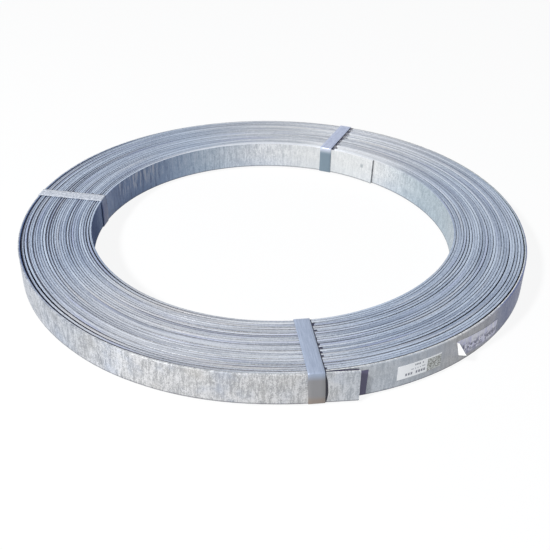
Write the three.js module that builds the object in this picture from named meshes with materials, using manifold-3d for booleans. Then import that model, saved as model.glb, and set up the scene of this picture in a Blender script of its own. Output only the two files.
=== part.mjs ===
// A ring of hot-dip galvanised flat steel strip, lying flat as it is stored.
// The strip is wound outwards, anticlockwise seen from above. Three steel
// straps hold its turns together, each closed by a crimped seal underneath,
// and two stickers are on the outer wall.
//
// Millimetres, +Z up. The origin is at the middle of the underside.

import * as THREE from 'three';
import { mergeVertices } from 'three/addons/utils/BufferGeometryUtils.js';
import Module from 'manifold-3d';

// The strip and how it is wound.
const STRIP_WIDTH = 40;
const STRIP_THICKNESS = 3;
const TURN_PITCH = 3.55;
const FIRST_TURN_RADIUS = 245.3;
const LAST_TURN = 27;
const OFF_CENTRE = 1.6;
const SEAM_DEPTH = 1.3;
const EDGE_WANDER = 0.35;
const EDGE_WANDER_PER_TURN = 0.24;

// Angles round the ring, in degrees from +X.
const FULL_CIRCLE = 360;
const INNER_END_ANGLE = 50;
const BACK_STRAP_ANGLE = 69.3;
const LEFT_STRAP_ANGLE = 170;
const FRONT_STRAP_ANGLE = 277.8;
const STRAP_FACET_ANGLE = 5;
const COARSEST_STEP_ANGLE = 11;

// The strip's free outer end, which springs off the ring past the front strap.
const TAIL_LENGTH = 34;
const TAIL_LIFT_ANGLE = 6;

// Clearance between pieces that touch.
const FIT_GAP = 0.35;

// The straps: flat steel bands whose ends lie one over the other under the ring.
const STRAP_WIDTH = 20;
const STRAP_THICKNESS = 0.8;
const STRAP_BEND_RADIUS = 0.7;
const STRAP_OVERLAP = 56;
const STRAP_JOGGLE = 5;
const STRAP_LAYER = STRAP_THICKNESS + FIT_GAP;

// The seals: steel channels pressed round both layers of a strap and crimped.
const SEAL_LENGTH = 32;
const SEAL_THICKNESS = 0.8;
const CRIMP_PITCH = 13;
const CRIMP_WIDTH = 5;
const CRIMP_DEPTH = 1.6;

// The stickers on the outer wall: edge angles, and heights above the strip's lower edge.
const STICKER_THICKNESS = 0.3;
const STICKER_STEPS = 6;
const PAPER_LABEL = { from: 293.8, to: 303.6, low: 9, high: 28 };
const FILM_LABEL = { from: 309, to: 322, low: 1.5, high: 27 };

// Levels above the floor, which the seals stand on.
const STRAP_UNDERSIDE = SEAL_THICKNESS + FIT_GAP + STRAP_LAYER;
const SEAL_HEIGHT = STRAP_UNDERSIDE + STRAP_THICKNESS;
const COIL_BASE = STRAP_UNDERSIDE + STRAP_LAYER + EDGE_WANDER;
const COIL_TOP = COIL_BASE + STRIP_WIDTH;

const galvanised = new THREE.MeshStandardMaterial({ color: 0xb4bec8, roughness: 0.42, metalness: 0.9 });
const strapSteel = new THREE.MeshStandardMaterial({ color: 0xa6b2c8, roughness: 0.35, metalness: 0.85 });
const sealSteel = new THREE.MeshStandardMaterial({ color: 0x9aa2ac, roughness: 0.4, metalness: 0.85 });
const paper = new THREE.MeshStandardMaterial({ color: 0xf2f3f5, roughness: 0.8, metalness: 0 });
const film = new THREE.MeshStandardMaterial({ color: 0xc9cbe4, roughness: 0.35, metalness: 0 });

const wasm = await Module();
wasm.setup();

const radians = THREE.MathUtils.degToRad;

// ---- Booleans ----

function weld(geometry) {
  geometry.deleteAttribute('normal');
  geometry.deleteAttribute('uv');
  return mergeVertices(geometry);
}

function toSolid(geometry) {
  const welded = weld(geometry);
  return new wasm.Manifold(new wasm.Mesh({
    numProp: 3,
    vertProperties: new Float32Array(welded.attributes.position.array),
    triVerts: new Uint32Array(welded.index.array),
  }));
}

function toGeometry(solid) {
  const mesh = solid.getMesh();
  const geometry = new THREE.BufferGeometry();
  geometry.setAttribute('position', new THREE.BufferAttribute(mesh.vertProperties, 3));
  geometry.setIndex(new THREE.BufferAttribute(mesh.triVerts, 1));
  return geometry;
}

// ---- The winding ----

// Turns wound from the strip's inner end, in the first turn, at an angle round the ring.
function turnsAt(angle) {
  return (angle - INNER_END_ANGLE) / FULL_CIRCLE;
}

// Radius of the strip's inner face after so many turns. The turns lie looser on
// the +X side, so the bore is off the axis one way and the outer wall the other.
function faceRadius(turns) {
  const angle = INNER_END_ANGLE + FULL_CIRCLE * turns;
  const outwards = (2 * turns) / (LAST_TURN + 1) - 1;
  return FIRST_TURN_RADIUS + TURN_PITCH * turns + OFF_CENTRE * outwards * Math.cos(radians(angle));
}

// How far the strip stands above its mean level after so many turns.
function edgeRise(turns) {
  return EDGE_WANDER * Math.sin(2 * Math.PI * EDGE_WANDER_PER_TURN * turns);
}

// Radius of the outer wall at an angle, where the given turn is the outermost.
function wallRadius(angle, outermostTurn) {
  return faceRadius(outermostTurn + turnsAt(angle)) + STRIP_THICKNESS;
}

// Points (radius, level) across the wound turns at one angle, from the bore out:
// each turn's flat edge, and the V seam that parts it from the turn inside it.
function turnEdges(angle, outermostTurn, level, seamLevel) {
  const points = [];
  for (let turn = 0; turn <= outermostTurn; turn += 1) {
    const turns = turn + turnsAt(angle);
    const inner = faceRadius(turns);
    const edge = level + edgeRise(turns);
    if (turn > 0) {
      const lastOuter = faceRadius(turns - 1) + STRIP_THICKNESS;
      points.push(new THREE.Vector2((lastOuter + inner) / 2, seamLevel));
    }
    points.push(new THREE.Vector2(inner, edge));
    points.push(new THREE.Vector2(inner + STRIP_THICKNESS, edge));
  }
  return points;
}

// Closed outline of the wound turns: the underside from the bore out, then the
// top from the wall back in. Point n of the underside is under point -1 - n.
function ringOutline(angle, outermostTurn) {
  const underside = turnEdges(angle, outermostTurn, COIL_BASE, COIL_BASE + SEAM_DEPTH);
  const top = turnEdges(angle, outermostTurn, COIL_TOP, COIL_TOP - SEAM_DEPTH);
  return [...underside, ...top.reverse()];
}

// Outline of the free end, which runs straight off the wall at a slant.
function tailOutline(angle, startAngle) {
  const past = radians(angle - startAngle);
  const start = wallRadius(startAngle, LAST_TURN);
  const outer = start / (Math.cos(past) - Math.tan(radians(TAIL_LIFT_ANGLE)) * Math.sin(past));
  const rise = edgeRise(LAST_TURN + turnsAt(startAngle));
  return [
    new THREE.Vector2(outer - STRIP_THICKNESS, COIL_BASE + rise),
    new THREE.Vector2(outer, COIL_BASE + rise),
    new THREE.Vector2(outer, COIL_TOP + rise),
    new THREE.Vector2(outer - STRIP_THICKNESS, COIL_TOP + rise),
  ];
}

// ---- Sweeping round the axis ----

// Angles from one stop to the next, in equal steps.
function stepThrough(stops, coarsestStep = COARSEST_STEP_ANGLE) {
  const angles = [stops[0]];
  for (let stop = 1; stop < stops.length; stop += 1) {
    const span = stops[stop] - stops[stop - 1];
    const steps = Math.ceil(span / coarsestStep);
    for (let step = 1; step <= steps; step += 1) {
      angles.push(stops[stop - 1] + (span * step) / steps);
    }
  }
  return angles;
}

// A surface being built from outlines that stand at angles round the axis.
class SweptSurface {
  positions = [];

  addTriangle(...corners) {
    for (const { outline, angle, at } of corners) {
      const point = outline.at(at);
      const turned = radians(angle % FULL_CIRCLE);
      this.positions.push(point.x * Math.cos(turned), point.x * Math.sin(turned), point.y);
    }
  }

  addQuad(a, b, c, d) {
    this.addTriangle(a, b, c);
    this.addTriangle(a, c, d);
  }

  // The skin round an outline as it goes through the angles.
  sweep(angles, outlineAt) {
    for (let step = 1; step < angles.length; step += 1) {
      const near = { outline: outlineAt(angles[step - 1]), angle: angles[step - 1] };
      const far = { outline: outlineAt(angles[step]), angle: angles[step] };
      for (let at = 0; at < near.outline.length; at += 1) {
        const next = (at + 1) % near.outline.length;
        this.addQuad({ ...near, at }, { ...far, at }, { ...far, at: next }, { ...near, at: next });
      }
    }
  }

  // An end face between two points of the underside and the points above them.
  // It faces back towards smaller angles, or forward to larger ones.
  closeEnd(outline, angle, fromPoint, toPoint, facesForward) {
    for (let at = fromPoint; at < toPoint; at += 1) {
      const base = { outline, angle, at };
      const baseNext = { outline, angle, at: at + 1 };
      const top = { outline, angle, at: -1 - at };
      const topNext = { outline, angle, at: -2 - at };
      if (facesForward) {
        this.addQuad(base, top, topNext, baseNext);
      } else {
        this.addQuad(base, baseNext, topNext, top);
      }
    }
  }

  toGeometry() {
    const geometry = new THREE.BufferGeometry();
    geometry.setAttribute('position', new THREE.Float32BufferAttribute(this.positions, 3));
    return weld(geometry);
  }
}

// ---- Pieces ----

// The flat facet that a strap lies across, as its two edge angles.
function strapFacet(angle) {
  return [angle - STRAP_FACET_ANGLE / 2, angle + STRAP_FACET_ANGLE / 2];
}

// The wound strip. Up to the front strap's far edge there is one turn more than
// past it, so the inner end is a step in the bore and the outer end a free tail.
function stripCoil(name) {
  const tailStart = strapFacet(FRONT_STRAP_ANGLE)[1];
  const tailTurn = THREE.MathUtils.radToDeg(TAIL_LENGTH / wallRadius(tailStart, LAST_TURN));
  const tailEnd = tailStart + tailTurn;
  const fullAngles = stepThrough([
    INNER_END_ANGLE,
    ...strapFacet(BACK_STRAP_ANGLE),
    ...strapFacet(LEFT_STRAP_ANGLE),
    ...strapFacet(FRONT_STRAP_ANGLE),
  ]);
  const shortAngles = stepThrough([tailStart, INNER_END_ANGLE + FULL_CIRCLE]);
  const pointsPerTurn = 3;
  const lastTurnPoint = pointsPerTurn * LAST_TURN;

  const surface = new SweptSurface();
  surface.sweep(fullAngles, (angle) => ringOutline(angle, LAST_TURN));
  surface.sweep(shortAngles, (angle) => ringOutline(angle, LAST_TURN - 1));
  surface.sweep([tailStart, tailEnd], (angle) => tailOutline(angle, tailStart));
  surface.closeEnd(ringOutline(INNER_END_ANGLE, LAST_TURN), INNER_END_ANGLE, 0, pointsPerTurn, false);
  surface.closeEnd(ringOutline(tailStart, LAST_TURN), tailStart, lastTurnPoint - 2, lastTurnPoint, true);
  surface.closeEnd(tailOutline(tailEnd, tailStart), tailEnd, 0, 1, true);
  const mesh = new THREE.Mesh(surface.toGeometry(), galvanised);
  mesh.name = name;
  return mesh;
}

// The space inside a strap round the ring's section: radii and levels.
function strapLoop(angle) {
  const facet = Math.cos(radians(STRAP_FACET_ANGLE / 2));
  return {
    bore: faceRadius(turnsAt(angle)) * facet - FIT_GAP,
    wall: wallRadius(angle, LAST_TURN) * facet + FIT_GAP,
    base: STRAP_UNDERSIDE + STRAP_THICKNESS,
    top: COIL_TOP + EDGE_WANDER + FIT_GAP,
  };
}

// Side view of a strap, x outwards and y up. It starts over the seal, goes out,
// up, back over the top and down the bore, and ends in a second layer below.
function strapOutline({ bore, wall, base, top }) {
  const middle = (bore + wall) / 2;
  const overlapIn = middle - STRAP_OVERLAP / 2;
  const overlapOut = middle + STRAP_OVERLAP / 2;
  const joggleIn = overlapIn - STRAP_JOGGLE;
  const bend = STRAP_BEND_RADIUS;
  const corners = [
    { x: wall - bend, y: base + bend, from: -Math.PI / 2 },
    { x: wall - bend, y: top - bend, from: 0 },
    { x: bore + bend, y: top - bend, from: Math.PI / 2 },
    { x: bore + bend, y: base + bend, from: Math.PI },
  ];
  const outline = new THREE.Shape();
  outline.moveTo(overlapIn, base);
  for (const { x, y, from } of corners) {
    outline.absarc(x, y, bend, from, from + Math.PI / 2, false);
  }
  outline.lineTo(joggleIn, base);
  outline.lineTo(overlapIn, base - STRAP_LAYER);
  outline.lineTo(overlapOut, base - STRAP_LAYER);
  outline.lineTo(overlapOut, base - STRAP_LAYER - STRAP_THICKNESS);
  outline.lineTo(overlapIn, base - STRAP_LAYER - STRAP_THICKNESS);
  outline.lineTo(joggleIn, base - STRAP_THICKNESS);
  for (const { x, y, from } of corners.reverse()) {
    outline.absarc(x, y, bend + STRAP_THICKNESS, from + Math.PI / 2, from, true);
  }
  outline.lineTo(overlapIn, base - STRAP_THICKNESS);
  outline.closePath();
  return outline;
}

// Extrudes an outline drawn in a strap's side view, centred on the strap.
function extrudeAcross(outline, width, curveSegments) {
  const geometry = new THREE.ExtrudeGeometry(outline, { depth: width, bevelEnabled: false, curveSegments });
  geometry.translate(0, 0, -width / 2);
  geometry.rotateX(Math.PI / 2);
  return geometry;
}

function strap(name, loop) {
  const bendSegments = 3;
  const geometry = extrudeAcross(strapOutline(loop), STRAP_WIDTH, bendSegments);
  const mesh = new THREE.Mesh(weld(geometry), strapSteel);
  mesh.name = name;
  return mesh;
}

// End view of a seal: a channel open upwards, closed by the ring's underside.
function sealOutline() {
  const inside = STRAP_WIDTH / 2 + FIT_GAP;
  const outside = inside + SEAL_THICKNESS;
  const outline = new THREE.Shape();
  outline.moveTo(-outside, 0);
  outline.lineTo(outside, 0);
  outline.lineTo(outside, SEAL_HEIGHT);
  outline.lineTo(inside, SEAL_HEIGHT);
  outline.lineTo(inside, SEAL_THICKNESS);
  outline.lineTo(-inside, SEAL_THICKNESS);
  outline.lineTo(-inside, SEAL_HEIGHT);
  outline.lineTo(-outside, SEAL_HEIGHT);
  outline.closePath();
  return outline;
}

// The wedge that a crimp cuts out of one side of a seal, drawn in plan.
function crimpWedge(along, side) {
  const outside = STRAP_WIDTH / 2 + FIT_GAP + SEAL_THICKNESS;
  const outline = new THREE.Shape();
  outline.moveTo(along - CRIMP_WIDTH / 2, side * (outside + FIT_GAP));
  outline.lineTo(along + CRIMP_WIDTH / 2, side * (outside + FIT_GAP));
  outline.lineTo(along, side * (outside - CRIMP_DEPTH));
  outline.closePath();
  const geometry = new THREE.ExtrudeGeometry(outline, { depth: 2 * SEAL_HEIGHT, bevelEnabled: false });
  geometry.translate(0, 0, -SEAL_HEIGHT / 2);
  return geometry;
}

function seal(name, { bore, wall }) {
  const channel = new THREE.ExtrudeGeometry(sealOutline(), { depth: SEAL_LENGTH, bevelEnabled: false });
  channel.translate(0, 0, -SEAL_LENGTH / 2);
  channel.rotateX(Math.PI / 2);
  channel.rotateZ(Math.PI / 2);
  let solid = toSolid(channel);
  for (const along of [-CRIMP_PITCH / 2, CRIMP_PITCH / 2]) {
    for (const side of [-1, 1]) {
      solid = solid.subtract(toSolid(crimpWedge(along, side)));
    }
  }
  const mesh = new THREE.Mesh(toGeometry(solid), sealSteel);
  mesh.name = name;
  mesh.position.x = (bore + wall) / 2;
  return mesh;
}

// A strap and its seal, at their place round the ring.
function strapping(place, angle) {
  const station = new THREE.Group();
  const loop = strapLoop(angle);
  station.add(strap(`strap_${place}`, loop), seal(`seal_${place}`, loop));
  station.rotation.z = radians(angle);
  return station;
}

// A sticker that follows the outer wall past the strip's free end.
function sticker(name, { from, to, low, high }, material) {
  const outlineAt = (angle) => {
    const inner = wallRadius(angle, LAST_TURN - 1) + FIT_GAP;
    return [
      new THREE.Vector2(inner, COIL_BASE + low),
      new THREE.Vector2(inner + STICKER_THICKNESS, COIL_BASE + low),
      new THREE.Vector2(inner + STICKER_THICKNESS, COIL_BASE + high),
      new THREE.Vector2(inner, COIL_BASE + high),
    ];
  };
  const surface = new SweptSurface();
  surface.sweep(stepThrough([from, to], (to - from) / STICKER_STEPS), outlineAt);
  surface.closeEnd(outlineAt(from), from, 0, 1, false);
  surface.closeEnd(outlineAt(to), to, 0, 1, true);
  const mesh = new THREE.Mesh(surface.toGeometry(), material);
  mesh.name = name;
  return mesh;
}

// ---- The object ----

const object = new THREE.Group();
object.add(
  stripCoil('strip_coil'),
  strapping('front', FRONT_STRAP_ANGLE),
  strapping('left', LEFT_STRAP_ANGLE),
  strapping('back', BACK_STRAP_ANGLE),
  sticker('label_paper', PAPER_LABEL, paper),
  sticker('label_film', FILM_LABEL, film),
);

// The axis is a little off the middle, because the ring's radius grows as it winds.
const middle = new THREE.Box3().setFromObject(object, true).getCenter(new THREE.Vector3());
object.position.set(-middle.x, -middle.y, 0);

export default object;
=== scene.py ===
"""Looks of a ring of galvanised steel strip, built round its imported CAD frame.

Metres, +Z up. The wound strip, the straps and the stickers are made here as fine
meshes that stand for their CAD nodes; the seals under the ring keep their CAD shape.
"""

import math

import bpy
import numpy as np
from mathutils import Matrix, Vector


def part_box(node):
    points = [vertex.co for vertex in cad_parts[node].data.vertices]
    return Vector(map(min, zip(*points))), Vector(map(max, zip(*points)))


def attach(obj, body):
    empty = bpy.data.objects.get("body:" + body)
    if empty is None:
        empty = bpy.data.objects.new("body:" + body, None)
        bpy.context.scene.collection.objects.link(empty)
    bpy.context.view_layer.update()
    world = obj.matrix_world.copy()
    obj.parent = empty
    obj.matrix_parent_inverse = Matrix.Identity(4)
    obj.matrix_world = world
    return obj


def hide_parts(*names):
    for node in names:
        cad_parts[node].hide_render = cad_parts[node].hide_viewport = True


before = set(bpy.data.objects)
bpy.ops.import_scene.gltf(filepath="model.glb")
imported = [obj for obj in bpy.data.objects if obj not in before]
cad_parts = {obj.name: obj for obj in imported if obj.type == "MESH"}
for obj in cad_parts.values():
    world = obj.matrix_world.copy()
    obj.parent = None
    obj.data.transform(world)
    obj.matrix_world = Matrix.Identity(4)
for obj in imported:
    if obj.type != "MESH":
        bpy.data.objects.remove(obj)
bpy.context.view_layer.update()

MM = 0.001

# The ring's axis, in the row frame, and the level of the strip's lower edge.
AXIS = np.array([-0.348, 0.785]) * MM
STRIP_BASE = 3.8 * MM

# The strip and how it is wound: anticlockwise and outwards, seen from above. The bore lies
# off the axis one way and the outer wall as far off it the other way.
STRIP_WIDTH = 40 * MM
STRIP_THICKNESS = 3 * MM
FIRST_TURN_RADIUS = 245.3 * MM
TURN_PITCH = 3.55 * MM
LAST_TURN = 27
OFF_CENTRE = 1.6 * MM
INNER_END_ANGLE = 50
NARROWEST_GAP = 0.06 * MM
STEPS_PER_TURN = 150
EDGE_RADIUS = 0.3 * MM

# How many times the room between the turns is shared out, and over how many steps evened.
SHARE_ROUNDS = 3
SHARE_SPREAD = 3

# Straps: the angle of each round the ring, their section, half the angle that they cover,
# their bends, and their lap underneath: its layer, its length and its step.
STRAP_ANGLES = {"front": 277.8, "left": 170, "back": 69.3}
STRAP_WIDTH = 18.5 * MM
STRAP_THICKNESS = 0.8 * MM
STRAP_HALF_ANGLE = 2.5
STRAP_BEND_RADIUS = 1.3 * MM
STRAP_BEND_STEPS = 6
STRAP_CLEARANCE = 0.12 * MM
STRAP_LAYER = STRAP_THICKNESS + 0.35 * MM
STRAP_OVERLAP = 56 * MM
STRAP_JOGGLE = 5 * MM

# How far each strap lies anticlockwise of its line at the bore, at the top of the outer wall
# and at its foot, in mm.
STRAP_SHIFTS = {"front": (1.0, 1.5, 3.3), "left": (0, 0, 0), "back": (2.0, -2.0, -2.0)}

# How far each strap bows off the outer wall and off the bore, in mm, and how much more of
# that its anticlockwise edge does, and the other edge less.
STRAP_BOWS = {"front": (0.6, 0, 1), "left": (0, 0.6, 0), "back": (0, 0.2, 0)}

# The shadow painted beside each strap: on its anticlockwise side for 1 and on its other side
# for -1, and its least and most reach, in mm.
STRAP_SHADOWS = {"front": (1, 1.5, 5.5), "left": (-1, 1.5, 5.5), "back": (-1, 4.5, 9.0)}

# Each strap's darker and lighter tone where it lies flat, its tones on the outer wall (foot,
# middle, top) and in the bore (foot, top), and how cloudy it is. The wall and bore tones are
# painted light and shade: lighter towards the top bend, a painted highlight, and darker lower
# down, painted shade.
STRAP_TONES = {
    "front": {
        "flat": ((142, 153, 174), (160, 171, 191)),
        "wall": ((134, 122, 112), (128, 127, 128), (144, 154, 172)),
        "bore": ((90, 104, 140), (130, 142, 170)),
        "mottling": 0.3,
    },
    "left": {
        "flat": ((138, 146, 160), (216, 220, 228)),
        "wall": ((150, 156, 168), (158, 166, 180), (190, 196, 206)),
        "bore": ((60, 78, 122), (96, 112, 146)),
        "mottling": 0.8,
    },
    "back": {
        "flat": ((146, 156, 186), (196, 204, 224)),
        "wall": ((120, 130, 160), (128, 138, 168), (150, 160, 190)),
        "bore": ((108, 126, 138), (192, 198, 212)),
        "mottling": 0.6,
    },
}

# The free outer end, and the shadow painted behind it: how far it reaches past the end, how
# much less at its foot, where it starts to lie below the top, how far below at the end and
# past it.
TAIL_START_ANGLE = STRAP_ANGLES["front"] + STRAP_HALF_ANGLE
TAIL_MIDDLE_ANGLE = 285
TAIL_LENGTH = 34 * MM
TAIL_LIFT_ANGLE = 4.2
TAIL_STEPS = 12
TAIL_CUT_SLANT = -1 * MM
TAIL_CORNER = 3 * MM
TAIL_SHADE_REACH = 11 * MM
TAIL_SHADE_SLANT = 1 * MM
TAIL_SHADE_START = 14 * MM
TAIL_SHADE_CLEAR = 1.6 * MM
TAIL_SHADE_DROP = 5 * MM

# Stickers on the outer wall: angles round the ring, and heights up the strip of their lower
# and upper edges at places along them, in mm.
PAPER_LABEL = {
    "from": 293.8, "to": 303.6,
    "places": (0, 59), "low": (9, 9), "high": (27.8, 28),
}
FILM_LABEL = {
    "from": 306.75, "to": 321.1,
    "places": (0, 10, 20, 33, 70, 85),
    "low": (13.8, 11.8, 7, 4.8, 2.6, 1.4), "high": (32, 32, 31, 29.7, 25.8, 24.4),
}
SHEET_STEP = 1.2 * MM
SHEET_THICKNESS = 0.2 * MM
SHEET_GAP = 0.05 * MM

# The corner of the film that has come off: how wide it is at the bottom and at the
# top, how tightly it bends, and how far it turns.
PEEL_WIDTH_LOW = 10.5 * MM
PEEL_WIDTH_HIGH = 4.6 * MM
PEEL_BEND_RADIUS = 1.3 * MM
PEEL_TURN = 122

# Rows of dashes on the paper sticker: from, to, low, high and pitch in mm, and the share that
# is printed. How much of its pitch a dash fills, and the size of a cell in the block.
PAPER_ROWS = [
    (22, 35, 14.4, 16.6, 2.0, 0.8),
    (17, 36, 9.8, 11.0, 1.6, 0.6),
    (6, 37, 3.2, 6.6, 3.4, 0.85),
]
PAPER_DASH = 0.68
PAPER_BLOCK_CELL = 0.9 * MM

# Floor, light and camera.
FLOOR_REACH = 6
FLOOR_CORNERS = [(-1, -1), (1, -1), (1, 1), (-1, 1)]
FLOOR_WHITENESS = 0.91
FLOOR_COLOURS = (0.65, 0.65, 0.65, 1.0), (0.85, 0.85, 0.85, 1.0)
WHITE = (1.0, 1.0, 1.0, 1.0)
FILL_STRENGTH = 0.22
FILL_COLOUR = (0.72, 0.84, 1.0, 1.0)
KEY_POSITION = (-2.05, -2.14, 2.67)
KEY_SIZE = 0.5
KEY_POWER = 215
CAMERA_POSITION = (0, -1.0068, 0.597)
CAMERA_ELEVATION = 32.879
CAMERA_AZIMUTH = -0.233
CAMERA_ROLL = 0.967
CAMERA_LENS = 53.84


# ---- The winding ----

# Slack gaps between turns: (how many gaps in from the outer wall, angle round the
# ring of its middle, half its spread in degrees, how much wider in mm).
SLACK_GAPS = [
    (1, 185, 72, 1.4), (1, 208, 22, 0.48), (2, 213, 34, 1.6), (3, 180, 75, 1.1),
    (5, 176, 72, 0.8), (6, 203, 58, 0.34), (7, 206, 42, 0.29), (8, 200, 66, 0.29),
    (9, 193, 60, 0.67), (10, 187, 66, 0.72), (11, 186, 56, 0.77), (12, 172, 42, 0.43),
    (13, 202, 46, 0.62), (15, 195, 50, 0.29), (16, 207, 40, 0.29), (17, 212, 46, 0.24),
    (18, 190, 56, 0.67), (19, 195, 66, 0.53), (20, 208, 56, 0.48), (22, 212, 56, 0.24),
    (24, 195, 56, 0.29), (26, 178, 52, 0.67), (26, 222, 48, 0.9), (27, 207, 66, 0.96),
    (27, 218, 34, 0.7), (1, 238, 36, 0.55), (2, 236, 36, 0.6), (3, 236, 34, 0.6),
    (11, 240, 34, 0.4), (22, 238, 34, 0.6), (15, 262, 34, 0.4), (20, 264, 36, 0.5),
    (1, 333, 56, 1.4), (2, 335, 46, 0.56), (3, 338, 36, 0.63), (4, 328, 40, 0.98),
    (6, 326, 42, 1.2), (7, 322, 30, 0.56), (8, 334, 36, 0.49), (9, 355, 30, 0.42),
    (10, 317, 28, 0.7), (11, 334, 22, 0.56), (12, 327, 38, 0.49), (14, 328, 42, 0.91),
    (15, 322, 40, 0.49), (16, 328, 50, 0.7), (17, 330, 55, 0.42), (20, 322, 36, 0.91),
    (21, 336, 50, 0.84), (22, 325, 45, 0.77), (23, 336, 55, 0.56), (26, 330, 60, 0.56),
    (1, 25, 45, 0.56), (5, 20, 40, 0.49), (12, 15, 30, 0.28), (14, 10, 30, 0.35),
    (15, 30, 40, 0.35), (20, 15, 36, 0.42), (24, 20, 30, 0.28),
]

# Groups of turns with wide lines of painted shade between them on the left, counted from the
# bore: the middle turn, how many turns either side, and how strong.
GAP_SHADE_GROUPS = [
    (2.3, 1.4, 0.8), (8.8, 1.6, 0.7), (16.6, 2.6, 1.0),
    (22.4, 0.6, 0.8), (24.4, 0.6, 1), (26.4, 0.6, 1),
]

# Turns painted lighter or darker than their neighbours, as painted highlights where turns
# stand proud and catch the light and painted shade beside them: angle round the ring, the
# spread in degrees, how much, the lighter turns and the darker ones. How many turns either
# side of one its tone reaches.
TURN_HIGHLIGHTS_AND_SHADE = [
    (36, 48, 0.7, (3.7, 11.3, 15.7, 19.9, 24.3), (5.7, 8.0, 13.2, 17.2, 21.7, 23.3, 27.4)),
    (258, 42, 0.3, (4.6, 11.7, 14.5, 16.4, 20.4, 23.4), (6.0, 13.7, 17.3)),
    (258, 42, 0.7, (7.2,), (8.4,)),
]
TURN_LIGHT_AND_SHADE_REACH = 0.75

# Turns that stand proud: angle round the ring, half the spread in degrees, how much in mm,
# and which ones, counted from the bore at that angle. How much lower the rest lie there, as
# a share of that.
RAISED_TURNS = [
    (45, 100, 0.45, (3, 4, 10, 11, 15, 19, 20, 23, 24, 25)),
    (262, 55, 0.4, (3, 6, 10, 15, 19, 22)),
]
OTHERS_LOWER = 0.6

# How the strip's level wanders along it: height in mm, waves in a turn, and phase. Where it
# dips by the front strap: angle, half the spread in degrees, and mm.
LEVEL_WAVES = [(0.08, 0.62, 1.1), (0.05, 1.37, 0)]
FRONT_DIP = (284.8, 14, 0.4)

# Where the outer wall is out of round: angle, half its spread in degrees, mm outwards.
WALL_SWELLS = np.array([
    (0, 40, -1.0),
    (90, 40, -0.7),
    (184, 46, -2.0),
    (243, 22, 1.3),
    (272, 20, -1.8),
    (312, 30, -0.7),
    (212, 18, -1.0),
])

# Where the innermost turns stand off their plain winding, likewise, how far their lower edge
# leans into the bore, in mm, and over how many turns both fade.
BORE_SWELL = (5, 45, 3.0)
BORE_LEAN = (25, 42, 3.0)
BORE_TURNS = 4


def turn_fraction(angle):
    """How much of a turn an angle round the ring is past the strip's inner end."""
    return ((angle - INNER_END_ANGLE) % 360) / 360


def outermost_turn(angle):
    """The number of the outermost turn at an angle round the ring."""
    past_tail = turn_fraction(angle) > turn_fraction(TAIL_START_ANGLE)
    return LAST_TURN - 1 if past_tail else LAST_TURN


def smooth_round(values, spread):
    """Evens out a closed row of values over a spread given in steps."""
    offsets = np.arange(-3 * spread, 3 * spread + 1)
    weights = np.exp(-0.5 * (offsets / spread) ** 2)
    weights /= weights.sum()
    return sum(w * np.roll(values, o) for o, w in zip(offsets, weights))


def hump(away, spread):
    """1 in the middle and 0 past a spread either way, in degrees."""
    return np.clip(1 - (away / spread) ** 2, 0, None) ** 1.5


def degrees_past(turns, angle):
    """How many degrees past an angle round the ring the strip is after so many turns, from
    -180 to 180."""
    return (INNER_END_ANGLE + 360 * turns - angle + 180) % 360 - 180


def round_radius(turns):
    """Inner face radius of the plain winding after so many turns. The bore lies off the
    axis one way and the outer wall the other."""
    outwards = 2 * turns / (LAST_TURN + 1) - 1
    sideways = np.cos(np.radians(INNER_END_ANGLE + 360 * turns))
    return FIRST_TURN_RADIUS + TURN_PITCH * turns + OFF_CENTRE * outwards * sideways


def bore_hump(shape, turns):
    """How far something shaped (angle, half its spread in degrees, mm) goes after so many
    turns, from the bore outwards."""
    angle, spread, size = shape
    return hump(degrees_past(turns, angle), spread) * size * MM * np.exp(-turns / BORE_TURNS)


def out_of_round(turns):
    """How far the outer wall stands off its plain winding after so many turns."""
    away = degrees_past(turns[:, None], WALL_SWELLS[:, 0])
    return (hump(away, WALL_SWELLS[:, 1]) * WALL_SWELLS[:, 2]).sum(axis=1) * MM


def wind_strip():
    """Turns wound and inner face radius at each step along the strip, up to the tail.
    Each gap has its own slack, and what is left of the build-up is shared out evenly."""
    total_turns = LAST_TURN + turn_fraction(TAIL_START_ANGLE)
    steps = round(total_turns * STEPS_PER_TURN)
    turns = np.arange(steps + 1) / STEPS_PER_TURN
    slack = np.zeros(steps + 1)
    for gap, angle, spread, width in SLACK_GAPS:
        middle = outermost_turn(angle) - (gap - 1) + turn_fraction(angle)
        slack += hump((turns - middle) * 360, spread) * width * MM
    slack[:STEPS_PER_TURN] = 0
    outer_radii = round_radius(turns) + out_of_round(turns)
    inner_radii = round_radius(turns) + bore_hump(BORE_SWELL, turns)
    first_rise = TURN_PITCH
    for attempt in range(SHARE_ROUNDS):
        even_share = []
        for step in range(STEPS_PER_TURN):
            last = step + STEPS_PER_TURN * ((steps - step) // STEPS_PER_TURN)
            gaps = last // STEPS_PER_TURN
            first = inner_radii[step] + (first_rise - TURN_PITCH) * turns[step]
            build_up = outer_radii[last] - first - gaps * STRIP_THICKNESS
            even_share.append((build_up - slack[step::STEPS_PER_TURN].sum()) / gaps)
        even_share = smooth_round(np.array(even_share), SHARE_SPREAD)
        first_rise = STRIP_THICKNESS + slack[STEPS_PER_TURN] + even_share[0]
    radii = inner_radii + (first_rise - TURN_PITCH) * turns
    for step in range(STEPS_PER_TURN, steps + 1):
        gap = slack[step] + even_share[step % STEPS_PER_TURN]
        radii[step] = radii[step - STEPS_PER_TURN] + STRIP_THICKNESS + max(gap, NARROWEST_GAP)
    return turns, radii


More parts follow.
